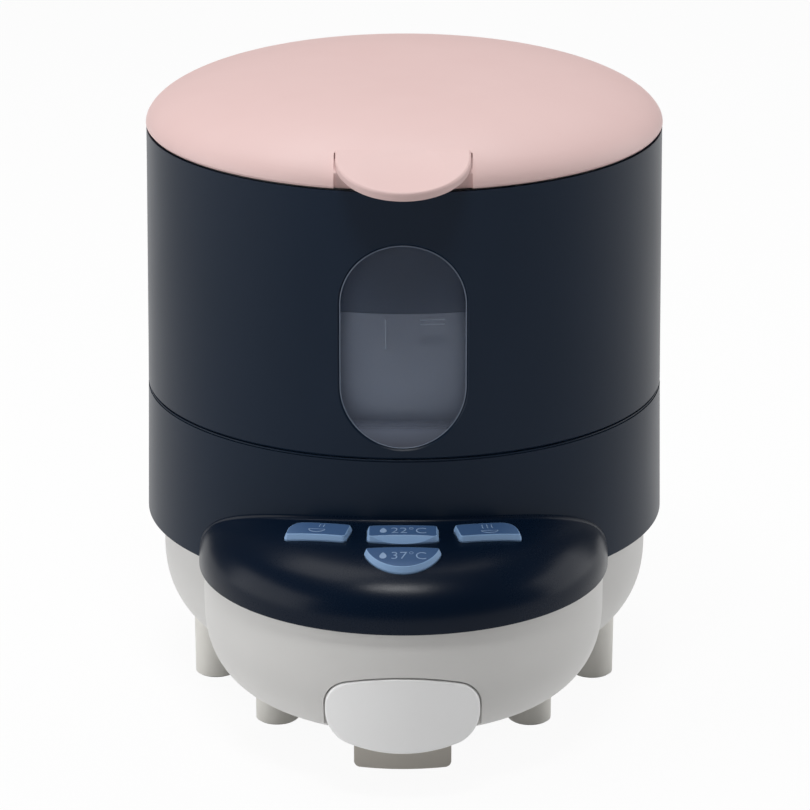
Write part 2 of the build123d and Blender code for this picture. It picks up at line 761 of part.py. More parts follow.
def on_board(x, y):
    """Place where the press direction through the console over x, y meets the board's top."""
    start = button_plane(x, y).origin
    local = board_plane().to_local_coords(start)
    return Pos(local.X, local.Y, 0)


def make_buttons():
    layer_top = console_form(-button_proud)
    under = console_wall + part_gap
    cap_floor = console_form(under + button_lip)
    lip_layer = console_form(under) - cap_floor
    for name, (outline, x, y, turn) in zip(button_names, button_specs()):
        if name == "button_steam":
            nodes[name] = mirror(nodes["button_warm_dish"], about=Plane.YZ)
            continue
        plane = button_plane(x, y) * Rot(0, 0, turn)
        prism = extrude(plane * outline, amount=12, both=True)
        middle = button_plane(x, y).offset(button_proud).origin
        cap = prism & layer_top
        top = cap.faces().sort_by_distance(middle)[0]
        cap = chamfer(top.edges(), *button_bevel, reference=top)
        if name == "button_22_degrees":
            cap -= upper_facet()
        top = cap.faces().sort_by_distance(middle)[0]
        cap = fillet(top.edges(), button_edge_r) - cap_floor
        lip = extrude(plane * offset(outline, button_lip), amount=12, both=True) & lip_layer
        bottom = board_plane() * on_board(x, y)
        stem_low = switch_height + press_travel + 0.1
        stem = bottom * Pos(0, 0, stem_low) * Cylinder(
            stem_r, 60, align=(Align.CENTER, Align.CENTER, Align.MIN))
        stem &= console_form(console_wall)
        nodes[name] = cap + lip + stem


def make_board():
    sheet = board_plane() * Pos(0, 0, -board_thickness / 2) * Box(*board_size, board_thickness)
    sheet &= ring(board_r, 0, base_height, base_height + console_height + 20, y=-lobe_offset)
    sheet -= ring(shell_r_bottom + board_body_gap, 0, base_height, seam_z)
    screws = []
    head_r, head_height = board_screw_head
    head_low = -board_thickness - head_height
    for x, y in mirrored(post_spots):
        place = board_plane() * on_board(x, y)
        sheet -= place * ring(board_screw_r + screw_fit, 0, -2 * board_thickness, board_thickness)
        shank = ring(board_screw_r, 0, head_low, board_screw_reach)
        screws.append(place * (shank + ring(head_r, 0, head_low, -board_thickness)))
    nodes["control_board"] = sheet
    nodes["board_screws"] = group(screws)
    switches = []
    for _, x, y, _ in button_specs():
        can = Pos(0, 0, switch_height / 2 - 0.5) * Box(switch_size, switch_size, switch_height - 1)
        knob = Pos(0, 0, switch_height - 0.5) * Cylinder(1.7, 1.0)
        switches.append(board_plane() * on_board(x, y) * (can + knob))
    nodes["push_switches"] = group(switches)
    for x, y in mirrored(post_spots):
        bore = ring(board_screw_r + screw_fit, 0, -1, board_screw_reach + bore_end_gap)
        nodes["control_console"] -= board_plane() * on_board(x, y) * bore


# ------------------------------------------------------------------ base
def notch_outline(grow):
    """Arched opening in the lobe for the outlet module, in the XZ plane."""
    grow = grow + notch_gap
    top = lip_top_z + grow
    top_r = lip_top_arc_r + grow
    width = 2 * (lip_half_width + grow)
    shape = Pos(0, top - top_r) * Circle(top_r) & Pos(0, top / 2) * Rectangle(width, top + 2)
    return fillet(shape.vertices().group_by(Axis.Y)[-1], lip_top_corner_r + grow)


def outlet_pocket(grow):
    """Room in the lobe for the outlet module, grown by the pocket's wall."""
    front_depth = notch_depth + grow
    arch = extrude(Plane.XZ * notch_outline(grow), amount=front_depth + 20)
    arch = Pos(0, -lobe_offset - lobe_r + front_depth, 0) * arch
    half = nozzle_half_width + channel_gap + grow
    rear = pocket_rear_y + grow
    channel = block(2 * half, rear - nozzle_front_y + 20, nozzle_top + channel_gap + grow + 1,
                    0, (rear + nozzle_front_y - 20) / 2, -1)
    return arch + channel


def rail_bar(side, grow):
    """Rail on a side wall of the outlet's channel; grown, it is the nozzle's groove."""
    face = nozzle_half_width + channel_gap
    front = nozzle_front_y + rail_start
    length = pocket_rear_y - front
    width = rail_width + grow
    return block(width, length + 40 * grow, rail_height + 2 * grow,
                 side * (face - width / 2), front + length / 2, rail_z - grow)


def foot_post(x, y, r_bottom, r_top, z_low):
    """Tapered post from z_low up into the base."""
    height = base_height - z_low
    post = Cone(r_bottom, r_top, height, align=(Align.CENTER, Align.CENTER, Align.MIN))
    return Pos(x, y, z_low) * post


def make_base():
    outer = base_form(0)
    base = outer - (base_form(base_wall) - outlet_pocket(pocket_wall)) - outlet_pocket(0)
    for side in (1, -1):
        base += rail_bar(side, 0) + block(
            0.5, pocket_rear_y - nozzle_front_y - rail_start, rail_height,
            side * (nozzle_half_width + channel_gap + 0.25),
            (pocket_rear_y + nozzle_front_y + rail_start) / 2, rail_z)
    bosses = Part()
    for x, y in mirrored(foot_spots):
        bosses += ring(boss_r, 0, base_height - bowl_depth, foot_boss_top(x, y), x, y)
    for angle in pillar_angles:
        x, y = pillar_circle * cos(radians(angle)), pillar_circle * sin(radians(angle))
        bosses += ring(pillar_r, 0, base_height - bowl_depth, chassis_z, x, y)
    base += bosses & base_pillar_room()
    for x, y in mirrored(foot_spots):
        bore_top = foot_boss_top(x, y) - foot_screw_margin + screw_end_gap
        base -= ring(screw_r + screw_fit, 0, 0, bore_top, x, y)
    for angle in pillar_angles:
        x, y = pillar_circle * cos(radians(angle)), pillar_circle * sin(radians(angle))
        base -= ring(screw_r + screw_fit, 0, chassis_z - chassis_screw_reach - screw_end_gap,
                     chassis_z + 1, x, y)
    base -= along_y(outlet_socket_r() + part_gap, pocket_rear_y - 1, pocket_rear_y + 5, 0, outlet_z)
    nodes["base_bowl"] = base


def base_pillar_room():
    """Where bosses may stand: inside the bowls, and up to the chassis plate."""
    return base_form(base_wall / 2) + ring(chassis_r, 0, base_height, chassis_z)


def foot_boss_top(x, y):
    """Top of the screw boss over a foot."""
    rear = hypot(x, y) - bowl_flat_r
    front = hypot(x, y + lobe_offset) - lobe_flat_r
    share = min(max(rear / (bowl_r - bowl_flat_r), 0), 1)
    low = base_height - bowl_straight
    low -= (bowl_depth - bowl_straight) * (1 - share ** base_powers[0]) ** (1 / base_powers[1])
    if front < lobe_r - lobe_flat_r:
        low = min(low, base_height - lobe_depth)
    return low + boss_height


def make_feet():
    feet, pads, screws = [], [], []
    outside = base_form(0)
    recess = pad_thickness - foot_lift
    for x, y in mirrored(foot_spots):
        post = foot_post(x, y, foot_r, foot_r + foot_draft, foot_lift) - outside
        seat = foot_lift + recess
        post -= ring(pad_r + part_gap, 0, 0, seat, x, y)
        post -= ring(screw_head_r + part_gap, 0, 0, seat + screw_head_height, x, y)
        post -= ring(screw_r + part_gap, 0, 0, base_height, x, y)
        feet.append(post)
        pads.append(ring(pad_r, 0, 0, pad_thickness, x, y))
        tip_z = foot_boss_top(x, y) - foot_screw_margin
        screws.append(screw(x, y, seat + screw_head_height, tip_z, False))
    nodes["feet"] = group(feet)
    nodes["foot_pads"] = group(pads)
    nodes["foot_screws"] = group(screws)


# ------------------------------------------------------------------ outlet module
def lip_form(inset):
    """Solid under the lip's flared front surface, turned about the lobe's axis."""
    top, low = lip_top_z + 2, lip_bottom_z - 0.5
    start = (lobe_r + lip_proud - inset, top)
    end = (lobe_r + lip_proud + lip_flare - inset, low)
    flare = TangentArc(start, end, tangent=(0, -1))
    return turned(flare + Polyline(end, (0, low), (0, top), start), y=-lobe_offset)


def lip_outline():
    """Front view of the lip in the XZ plane: flat arcs above and below, well rounded ends."""
    above = Pos(0, lip_top_z - lip_top_arc_r) * Circle(lip_top_arc_r)
    below = Pos(0, lip_bottom_z + lip_bottom_arc_r) * Circle(lip_bottom_arc_r)
    middle = (lip_top_z + lip_bottom_z) / 2
    shape = Pos(0, middle) * Rectangle(2 * lip_half_width, 2 * middle) & above & below
    shape = fillet(shape.vertices().group_by(Axis.Y)[-1], lip_top_corner_r)
    return fillet([v for v in shape.vertices() if v.Y < middle], lip_bottom_corner_r)


def make_outlet():
    front = Plane.XZ.offset(lobe_offset)
    prism = extrude(front * lip_outline(), amount=lobe_r + 2 * lip_flare)
    plate = prism & lip_form(0)
    rim = [edge for edge in plate.edges()
           if hypot(edge.center().X, edge.center().Y + lobe_offset) > lobe_r - lip_thickness]
    plate = fillet(rim, lip_edge_r) - lip_form(lip_thickness)
    neck = block(2 * neck_half_width, lobe_r, neck_height, 0, -lobe_offset - lobe_r / 2, neck_low_z)
    neck = (neck & lip_form(lip_thickness / 2)) - nozzle_form()
    neck -= ring(nozzle_front_r, 0, 0, base_height, y=-lobe_offset)
    nodes["pull_tab"] = plate + neck

    nozzle = nozzle_form()
    for side in (1, -1):
        nozzle -= rail_bar(side, run_gap)
    nozzle -= along_y(outlet_bore, tip_spots[0], nozzle_rear_y + 1, 0, outlet_z)
    for y in tip_spots:
        nozzle -= ring(outlet_bore, 0, nozzle_bottom + 1, outlet_z, 0, y)
        nozzle -= ring(tip_r, 0, nozzle_bottom - 1, nozzle_bottom + tip_length, 0, y)
    spigot = along_y(outlet_spigot_r, nozzle_rear_y, nozzle_rear_y + outlet_spigot_length, 0, outlet_z)
    spigot -= along_y(outlet_bore, nozzle_rear_y - 1, nozzle_rear_y + outlet_spigot_length + 1,
                      0, outlet_z)
    seal_y = nozzle_rear_y + outlet_spigot_length - outlet_seal_setback
    seal_end = seal_y + outlet_seal_width
    core = along_y(outlet_spigot_r - outlet_groove_depth, seal_y, seal_end, 0, outlet_z)
    groove = along_y(outlet_spigot_r + 1, seal_y, seal_end, 0, outlet_z) - core
    nodes["nozzle_block"] = nozzle + (spigot - groove)
    seal = along_y(outlet_spigot_r + outlet_seal_bulge, seal_y, seal_end, 0, outlet_z)
    nodes["outlet_seal"] = seal - core
    tips = [ring(tip_r, tip_bore, nozzle_bottom, nozzle_bottom + tip_length, 0, y) for y in tip_spots]
    nodes["nozzle_tips"] = group(tips)


def nozzle_form():
    """Outside of the nozzle block, its front face round the lobe's axis."""
    length = nozzle_rear_y - nozzle_front_y
    body = block(2 * nozzle_half_width, length, nozzle_top - nozzle_bottom,
                 0, (nozzle_rear_y + nozzle_front_y) / 2, nozzle_bottom)
    low = body.faces().sort_by(Axis.Z)[0].edges().filter_by(Axis.Y)
    body = fillet(low, nozzle_edge_r)
    return body & ring(nozzle_front_r, 0, 0, base_height, y=-lobe_offset)


def outlet_socket_r():
    """Outer radius of the socket that the nozzle plugs into."""
    return outlet_spigot_r + outlet_seal_bulge + run_gap + outlet_socket_wall


def make_outlet_socket():
    front = pocket_rear_y
    tube_end = front + outlet_socket_length
    bore = outlet_socket_r() - outlet_socket_wall
    body = along_y(outlet_socket_r(), front, tube_end, 0, outlet_z)
    body += along_y(outlet_socket_r() + outlet_flange, front + pocket_wall,
                    front + pocket_wall + outlet_flange, 0, outlet_z)
    body += along_y(stub_r, tube_end, tube_end + stub_length, 0, outlet_z)
    body -= along_y(bore, front - 1, tube_end - 2, 0, outlet_z)
    body -= along_y(stub_r - stub_wall, front, tube_end + stub_length + 1, 0, outlet_z)
    nodes["outlet_socket"] = body


# ------------------------------------------------------------------ inner works
def socket_bore():
    """Bore that the tank's spigot and its seal run in."""
    return spigot_r + spigot_seal_bulge + run_gap


def make_socket():
    """Socket in the deck that the tank's spigot plugs into, with the pin that opens the valve."""
    bore = socket_bore()
    low = deck_z - socket_depth
    cup = ring(bore + socket_wall, 0, low, deck_z)
    cup += ring(socket_flange_r, 0, deck_z, deck_z + socket_flange_thickness)
    cup -= ring(bore, 0, low + socket_wall, deck_z + socket_flange_thickness + 1)
    pin_top = deck_z + spigot_end_z + socket_pin_rise
    cup += ring(socket_pin_r, 0, low + socket_wall, pin_top)
    drain_low = low - socket_drain_length
    cup += ring(stub_r, 0, drain_low, low, socket_drain_x, 0)
    cup -= ring(stub_r - stub_wall, 0, drain_low - 1, low + socket_wall + 1, socket_drain_x, 0)
    nodes["tank_socket"] = cup


def make_chassis():
    plate = ring(chassis_r, 0, chassis_z, chassis_top)
    for angle in pillar_angles:
        x, y = pillar_circle * cos(radians(angle)), pillar_circle * sin(radians(angle))
        plate -= ring(screw_r + part_gap, 0, chassis_z - 1, chassis_top + 1, x, y)
    plate -= block(4 * hose_r, 4 * hose_r, 10, *hose_hole, chassis_z - 2)
    nodes["chassis_plate"] = plate
    screws = []
    for angle in pillar_angles:
        x, y = pillar_circle * cos(radians(angle)), pillar_circle * sin(radians(angle))
        screws.append(screw(x, y, chassis_top, chassis_z - chassis_screw_reach, True))
    nodes["chassis_screws"] = group(screws)


def make_works():
    x, y = heater_spot
    heater = ring(heater_r, 0, chassis_top, chassis_top + heater_height, x, y)
    heater = fillet(heater.edges().group_by(Axis.Z)[-1], heater_edge_r)
    reach = y - heater_r
    heater += along_y(stub_r, reach - stub_length, y, x, pump_axis_z())
    heater += along_y(stub_r, reach - stub_length, y, x - port_spacing, chassis_top + hose_low)
    depth, width = heater_groove
    for index in range(heater_grooves):
        z = chassis_top + 2 * width + heater_groove_pitch * index
        heater -= ring(heater_r + 1, heater_r - depth, z, z + width, x, y)
    nodes["water_heater"] = heater
    x, y = pump_spot
    axis_z = pump_axis_z()
    pump = along_y(pump_r, y - pump_length / 2, y + pump_length / 2, x, axis_z)
    nose = pump_length / 2 + pump_nose
    pump += along_y(pump_r * 0.6, y - nose, y + nose, x, axis_z)
    pump += along_y(stub_r, y - nose - stub_length, y + nose + stub_length, x, axis_z)
    nodes["water_pump"] = pump
    cradle = block(pump_r * 1.6, pump_length * 0.7, pump_bed + pump_r * 0.7, x, y, chassis_top)
    nodes["pump_cradle"] = cradle - along_y(pump_r + screw_fit, y - pump_length, y + pump_length,
                                            x, axis_z)
    x, y = meter_spot
    meter = ring(meter_r, 0, chassis_top, chassis_top + meter_height, x, y)
    meter += along_y(stub_r, y - meter_r - stub_length, y, x, chassis_top + hose_low)
    meter += along_x(stub_r, x, x + meter_r + stub_length, y, pump_axis_z())
    nodes["flow_meter"] = meter
    x, y = steam_valve_spot
    width, depth, height = steam_valve_size
    valve = block(width, depth, height * 0.6, x, y, chassis_top)
    valve += ring(width * 0.38, 0, chassis_top, chassis_top + height, x, y)
    valve += along_y(stub_r, y, y + depth / 2 + stub_length, x - port_spacing,
                     chassis_top + hose_low)
    valve += along_x(stub_r, x, x + width / 2 + stub_length, y, chassis_top + hose_low)
    nodes["steam_valve"] = valve

    x, y = power_board_spot
    board_z = chassis_z - power_board_drop
    board = block(*power_board_size, board_thickness, x, y, board_z - board_thickness)
    nodes["power_board"] = board
    width, depth = power_board_size
    spacers = []
    for sx in (1, -1):
        for sy in (1, -1):
            spot = (x + sx * (width / 2 - spacer_inset), y + sy * (depth / 2 - spacer_inset))
            spacers.append(ring(spacer_r, 0, board_z, chassis_z, *spot))
    nodes["board_spacers"] = group(spacers)
    low = board_z - board_thickness
    nodes["transformer"] = block(*transformer_size, x + transformer_x, y, low - transformer_size[2])
    relays = [block(*relay_size, x + dx, y, low - relay_size[2]) for dx in relay_places]
    nodes["relays"] = group(relays)
    spot = (x + capacitor_place[0], y + capacitor_place[1])
    nodes["capacitor"] = ring(capacitor_r, 0, low - capacitor_height, low, *spot)


def pump_axis_z():
    """Height of the pump's axis, which the upper hoses keep to."""
    return chassis_top + pump_bed + pump_r


def make_hoses():
    low = chassis_top + hose_low
    high = pump_axis_z()
    drain_z = deck_z - socket_depth
    meter_x, meter_y = meter_spot
    nodes["meter_hose"] = hose(
        (socket_drain_x, 0, drain_z - part_gap), (socket_drain_x, 0, low),
        (meter_x, meter_y - meter_r - part_gap, low))
    pump_x, pump_y = pump_spot
    nose = pump_length / 2 + pump_nose + part_gap
    nodes["pump_hose"] = hose(
        (meter_x + meter_r + part_gap, meter_y, high), (pump_x, meter_y, high),
        (pump_x, pump_y + nose, high))
    heater_x, heater_y = heater_spot
    turn_y = pump_y - nose - 1.6 * hose_bend
    nodes["heater_hose"] = hose(
        (pump_x, pump_y - nose, high), (pump_x, turn_y, high), (heater_x, turn_y, high),
        (heater_x, heater_y - heater_r - part_gap, high))
    valve_x, valve_y = steam_valve_spot
    width, depth, _ = steam_valve_size
    start = Plane(origin=(heater_x - port_spacing, valve_y + depth / 2 + part_gap, low), z_dir=(0, 1, 0))
    length = heater_y - heater_r - valve_y - depth / 2 - 2 * part_gap
    nodes["steam_hose"] = extrude(start * (Circle(hose_r) - Circle(hose_bore)), amount=length)
    socket_end = pocket_rear_y + outlet_socket_length + part_gap
    nodes["outlet_hose"] = hose(
        (0, socket_end, outlet_z), (*hose_hole, outlet_z), (*hose_hole, low),
        (0, valve_y, low), (valve_x + width / 2 + part_gap, valve_y, low))


def make_inlet():
    body = inlet_hole(0)
    face_y = shell_r_bottom + inlet_proud
    middle_z = base_height + inlet_z
    cavity = Box(inlet_socket[0], inlet_socket_depth, inlet_socket[1])
    cavity = fillet(cavity.edges().filter_by(Axis.Y), inlet_corner_r)
    body -= Pos(0, face_y - inlet_socket_depth / 2, middle_z) * cavity
    nodes["power_inlet"] = body
    pins = [
        along_y(inlet_pin_r, face_y - inlet_socket_depth, face_y - inlet_pin_recess,
                side * inlet_pin_gap / 2, middle_z)
        for side in (1, -1)
    ]
    nodes["inlet_pins"] = group(pins)


# ------------------------------------------------------------------ build and export
def build():
    make_lid()
    make_tank_shell()
    make_window()
    make_water_tank()
    make_valve()
    make_lower_shell()
    make_console()
    make_buttons()
    make_board()
    make_base()
    make_feet()
    make_outlet()
    make_outlet_socket()
    make_socket()
    make_chassis()
    make_works()
    make_hoses()
    make_inlet()


def export():
    boxes = [shape.bounding_box() for shape in nodes.values()]
    middle_x = (min(b.min.X for b in boxes) + max(b.max.X for b in boxes)) / 2
    middle_y = (min(b.min.Y for b in boxes) + max(b.max.Y for b in boxes)) / 2
    print("origin shift", round(middle_x, 4), round(middle_y, 4))
    for name, shape in nodes.items():
        export_step(Pos(-middle_x, -middle_y, 0) * shape, f"parts/{name}.step")


build()
export()
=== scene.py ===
"""Baby formula maker, dressed: finishes for its housings, the water behind the level window, trim
round the tank shell and the printed marks on its buttons.

Metres, floor at z = 0, front towards -Y.
"""
import bpy
import bmesh
import json
from math import asin, cos, pi, radians, sin
from mathutils import Matrix, Vector


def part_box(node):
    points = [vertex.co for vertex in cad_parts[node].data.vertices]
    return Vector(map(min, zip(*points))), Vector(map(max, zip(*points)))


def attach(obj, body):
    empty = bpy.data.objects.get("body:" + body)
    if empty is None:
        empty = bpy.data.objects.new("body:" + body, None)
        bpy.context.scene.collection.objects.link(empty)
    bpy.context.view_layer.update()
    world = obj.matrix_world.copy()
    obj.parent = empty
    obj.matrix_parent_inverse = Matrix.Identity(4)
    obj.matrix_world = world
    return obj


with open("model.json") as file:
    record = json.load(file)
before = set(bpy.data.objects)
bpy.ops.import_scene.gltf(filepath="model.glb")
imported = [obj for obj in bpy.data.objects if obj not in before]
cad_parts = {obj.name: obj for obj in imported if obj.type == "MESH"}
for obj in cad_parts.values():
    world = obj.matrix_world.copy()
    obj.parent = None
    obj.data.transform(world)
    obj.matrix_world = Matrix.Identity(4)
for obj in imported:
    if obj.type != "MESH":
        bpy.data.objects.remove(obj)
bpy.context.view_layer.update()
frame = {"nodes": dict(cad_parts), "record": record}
nodes = frame["nodes"]

# ------------------------------------------------------------------ sizes shared with the solids
axis_y = sum(corner[1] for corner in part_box("tank_socket")) / 2      # the round body's own axis
lobe_y = axis_y - 0.058      # the console's axis
seam_z = 0.1024              # middle of the gap under the tank shell
body_r = 0.0875              # the round body at that gap
tank_floor_z = 0.110         # clear tank, inside of its floor
tank_inner_r = 0.0813        # clear tank, inside of its wall
press_tilt = radians(14)     # lean of the console's top
press_axis = Vector((0, -sin(press_tilt), cos(press_tilt)))
side_turn = radians(17)      # turn of the two outer buttons

# ------------------------------------------------------------------ sizes of the looks
water_z = 0.1502             # water line
frost_top_z = tank_floor_z + 0.0062      # the level window is clear above this
frost_fade = 0.0040                      # height over which its frost sets in
shade_darkest_z = tank_floor_z - 0.0030     # painted shade: the frost is darkest here
shade_lightest_z = tank_floor_z + 0.0050    # and the painted shade ends here, where the frost is lightest
side_shade_growth = 3200     # 1 / square metre: painted shade darkens the frost towards the window's sides, full 18 mm out
clear_alpha = 0.24           # the window's cover where it is clear
frost_alpha = 0.62           # what the frost adds to it

flow_scale = 28              # 1 / metre, as all scales: mottle that the melt leaves in a moulding
peel_scale = 2400            # orange peel
smoke_scale = 40             # cloudiness of the level window
clear_scale = 30             # cloudiness of clear plastic and water
drawn_scale = 900            # lines in drawn metal
dust_scale = 160             # mottle on rubber
weave_scale = 1200           # glass cloth in the circuit boards
track_scale = 180            # their copper tracks
fine_grain = 0.00001         # depth of the orange peel
coarse_grain = 0.00002       # the same on the matt mouldings
drawn_depth = 0.000008       # depth of the lines in drawn metal
dust_depth = 0.00002         # depth of the mottle on rubber
track_depth = 0.00003        # copper under the circuit boards' mask

print_start = 0.004          # height over a button from which a mark drops on to it
print_gap = 0.00003          # middle of the print's thickness over the button
print_thickness = 0.00008
weld = 0.000005              # points of a mark that are nearer than this become one


# ------------------------------------------------------------------ finishes
class Value:
    """A node's output that does arithmetic: each operator adds one Math node."""

    def __init__(self, finish, socket):
        self.finish, self.socket = finish, socket

    def maths(self, operation, *values):
        return self.finish.node("ShaderNodeMath", dict(enumerate(values)), operation=operation)

    def __add__(self, other):
        return self.maths("ADD", self, other)

    def __sub__(self, other):
        return self.maths("SUBTRACT", self, other)

    def __rsub__(self, other):
        return self.maths("SUBTRACT", other, self)

    def __mul__(self, other):
        return self.maths("MULTIPLY", self, other)

    def __truediv__(self, other):
        return self.maths("DIVIDE", self, other)

    def __pow__(self, other):
        return self.maths("POWER", self, other)

    def largest(self, other):
        return self.maths("MAXIMUM", self, other)

    def clamped(self):
        """The value kept between 0 and 1."""
        return self.maths("MINIMUM", self, 1.0).largest(0.0)


class Finish:
    """One material and the nodes in it."""

    def __init__(self, name):
        self.material = bpy.data.materials.new(name)
        self.material.use_nodes = True
        self.tree = self.material.node_tree
        self.tree.nodes.clear()

    def node(self, kind, sockets=None, output=0, **settings):
        """Adds a node: its settings first, then its sockets' values or links."""
        made = self.tree.nodes.new(kind)
        for key, value in settings.items():
            setattr(made, key, value)
        for key, value in (sockets or {}).items():
            target = made.inputs[key]
            if isinstance(value, Value):
                self.tree.links.new(value.socket, target)
            else:
                target.default_value = (*value, 1.0) if target.type == "RGBA" else value
        return Value(self, made.outputs[output])

    def place(self):
        """Object coordinates, in metres."""
        return self.node("ShaderNodeTexCoord", output="Object")

    def axis(self, name):
        """One object coordinate as a number."""
        return self.node("ShaderNodeSeparateXYZ", {"Vector": self.place()}, name)

    def noise(self, scale, detail, stretch=(1, 1, 1)):
        """Noise with features of about 1/scale metres."""
        mapped = self.node("ShaderNodeMapping", {"Vector": self.place(), "Scale": stretch})
        return self.node("ShaderNodeTexNoise",
                         {"Vector": mapped, "Scale": scale, "Detail": detail}, "Fac")

    def mix(self, share, low, high):
        """Colour between two colours."""
        factor, first, second, result = 0, 6, 7, 2      # the Mix node's sockets for colours
        return self.node("ShaderNodeMix", {factor: share, first: low, second: high}, result,
                         data_type="RGBA")

    def bump(self, height, depth):
        """Normal from a height of 0 to 1 that stands depth metres."""
        return self.node("ShaderNodeBump", {"Height": height, "Distance": depth, "Strength": 1.0},
                         "Normal")

    def surface(self, **sockets):
        """Closes the material with a Principled shader."""
        named = {key.replace("_", " "): value for key, value in sockets.items()}
        return self.close(self.node("ShaderNodeBsdfPrincipled", named))

    def close(self, shader):
        """Makes that shader the material's surface."""
        out = self.tree.nodes.new("ShaderNodeOutputMaterial")
        self.tree.links.new(shader.socket, out.inputs["Surface"])
        return self.material


def linear(red, green, blue):
    """Linear colour of an sRGB colour given in 0 to 255."""
    def one(value):
        value /= 255
        return value / 12.92 if value <= 0.04045 else ((value + 0.055) / 1.055) ** 2.4
    return one(red), one(green), one(blue)


def darker(colour, share):
    """Linear colour of an sRGB colour that is brought down to a share of itself."""
    return linear(*(channel * share for channel in colour))


def moulded(name, colour, shade, roughness, grain=fine_grain, shine=0.5):
    """Moulded plastic: faint flow mottle in colour and gloss, fine orange peel."""
    finish = Finish(name)
    flow = finish.noise(flow_scale, 2.0, (1, 1, 0.6))
    peel = finish.noise(peel_scale, 2.0)
    tint = finish.mix(((flow - 0.5) * 1.6 + 0.5).clamped(), linear(*colour), linear(*shade))
    rough = (flow - 0.5) * 0.10 + (peel - 0.5) * 0.06 + roughness
    return finish.surface(Base_Color=tint, Roughness=rough, Normal=finish.bump(peel, grain),
                          Specular_IOR_Level=shine)


def smoked():
    """Smoked clear plastic, see-through above and frosted at its foot; the frost carries painted
    shade, darker low and towards the sides.
    """
    finish = Finish("smoked_plastic")
    flow = finish.noise(smoke_scale, 2.0)
    x, z = finish.axis("X"), finish.axis("Z")
    frost = ((frost_top_z - z) / frost_fade).clamped()
    # painted shade masks: rise darkens the frost towards the window's foot, side towards its sides
    rise = ((z - shade_darkest_z) / (shade_lightest_z - shade_darkest_z)).clamped()
    side = (x * x * side_shade_growth).clamped()
    smoke = finish.mix(flow, linear(34, 48, 74), linear(40, 54, 82))
    # painted shade: the frost is darker low on the window
    frosted = finish.mix(rise, linear(80, 85, 100), linear(109, 118, 137))
    # painted shade: the frost is darker towards the window's sides
    frosted = finish.mix(side * 0.8, frosted, linear(72, 79, 93))
    tint = finish.mix(frost ** 0.5, smoke, frosted)
    return finish.surface(Base_Color=tint, Roughness=flow * 0.05 + 0.12,
                          Alpha=frost * frost_alpha + clear_alpha, Specular_IOR_Level=0.25)


def clear(name, colour, alpha):
    """Clear plastic or water, faintly tinted."""
    finish = Finish(name)
    flow = finish.noise(clear_scale, 2.0)
    tint = finish.mix(flow, linear(*colour), darker(colour, 0.8))
    return finish.surface(Base_Color=tint, Roughness=flow * 0.04 + 0.05, Alpha=alpha,
                          Specular_IOR_Level=0.3)


def metal(name, colour, roughness, stretch=(1, 1, 1)):
    """Bright metal with fine drawn lines."""
    finish = Finish(name)
    lines = finish.noise(drawn_scale, 3.0, stretch)
    tint = finish.mix(lines, linear(*colour), darker(colour, 0.86))
    return finish.surface(Base_Color=tint, Metallic=1.0, Roughness=lines * 0.15 + roughness,
                          Normal=finish.bump(lines, drawn_depth))


def soft_rubber(name, colour, roughness=0.7):
    """Rubber or silicone: matt, with a dusty mottle."""
    finish = Finish(name)
    dust = finish.noise(dust_scale, 4.0)
    tint = finish.mix(dust, linear(*colour), darker(colour, 0.82))
    return finish.surface(Base_Color=tint, Roughness=dust * 0.15 + roughness,
                          Normal=finish.bump(dust, dust_depth))


def button_plastic_painted_edges():
    """Blue plastic with a painted highlight: paler on the bevels and sides that turn away from the
    press axis.
    """
    finish = Finish("button_blue")
    normal = finish.node("ShaderNodeNewGeometry", output="Normal")
    facing = finish.node("ShaderNodeVectorMath", {0: normal, 1: press_axis}, "Value",
                         operation="DOT_PRODUCT")
    highlight_start, highlight_span = 0.985, 0.10      # cosines of the turn from the press axis over which the painted highlight sets in
    # painted highlight: bevels and sides grow paler the more they turn from the press axis
    edge = ((highlight_start - facing) / highlight_span).clamped()
    peel = finish.noise(peel_scale, 2.0)
    tint = finish.mix(edge, linear(60, 90, 131), linear(136, 170, 210))
    return finish.surface(Base_Color=tint, Roughness=peel * 0.06 + 0.36,
                          Normal=finish.bump(peel, fine_grain), Specular_IOR_Level=0.3)


def laminate():
    """Green circuit laminate with copper tracks under the mask."""
    finish = Finish("board_laminate")
    weave = finish.noise(weave_scale, 2.0)
    track = finish.node("ShaderNodeTexBrick", {
        "Vector": finish.place(), "Scale": track_scale, "Color1": (0, 0, 0), "Color2": (0, 0, 0),
        "Mortar": (1, 1, 1), "Mortar Size": 0.06}, "Fac", offset=0.5)
    tint = finish.mix(track * 0.6 + weave * 0.2, linear(18, 84, 48), linear(52, 128, 70))
    return finish.surface(Base_Color=tint, Roughness=weave * 0.1 + 0.35,
                          Normal=finish.bump(track, track_depth))


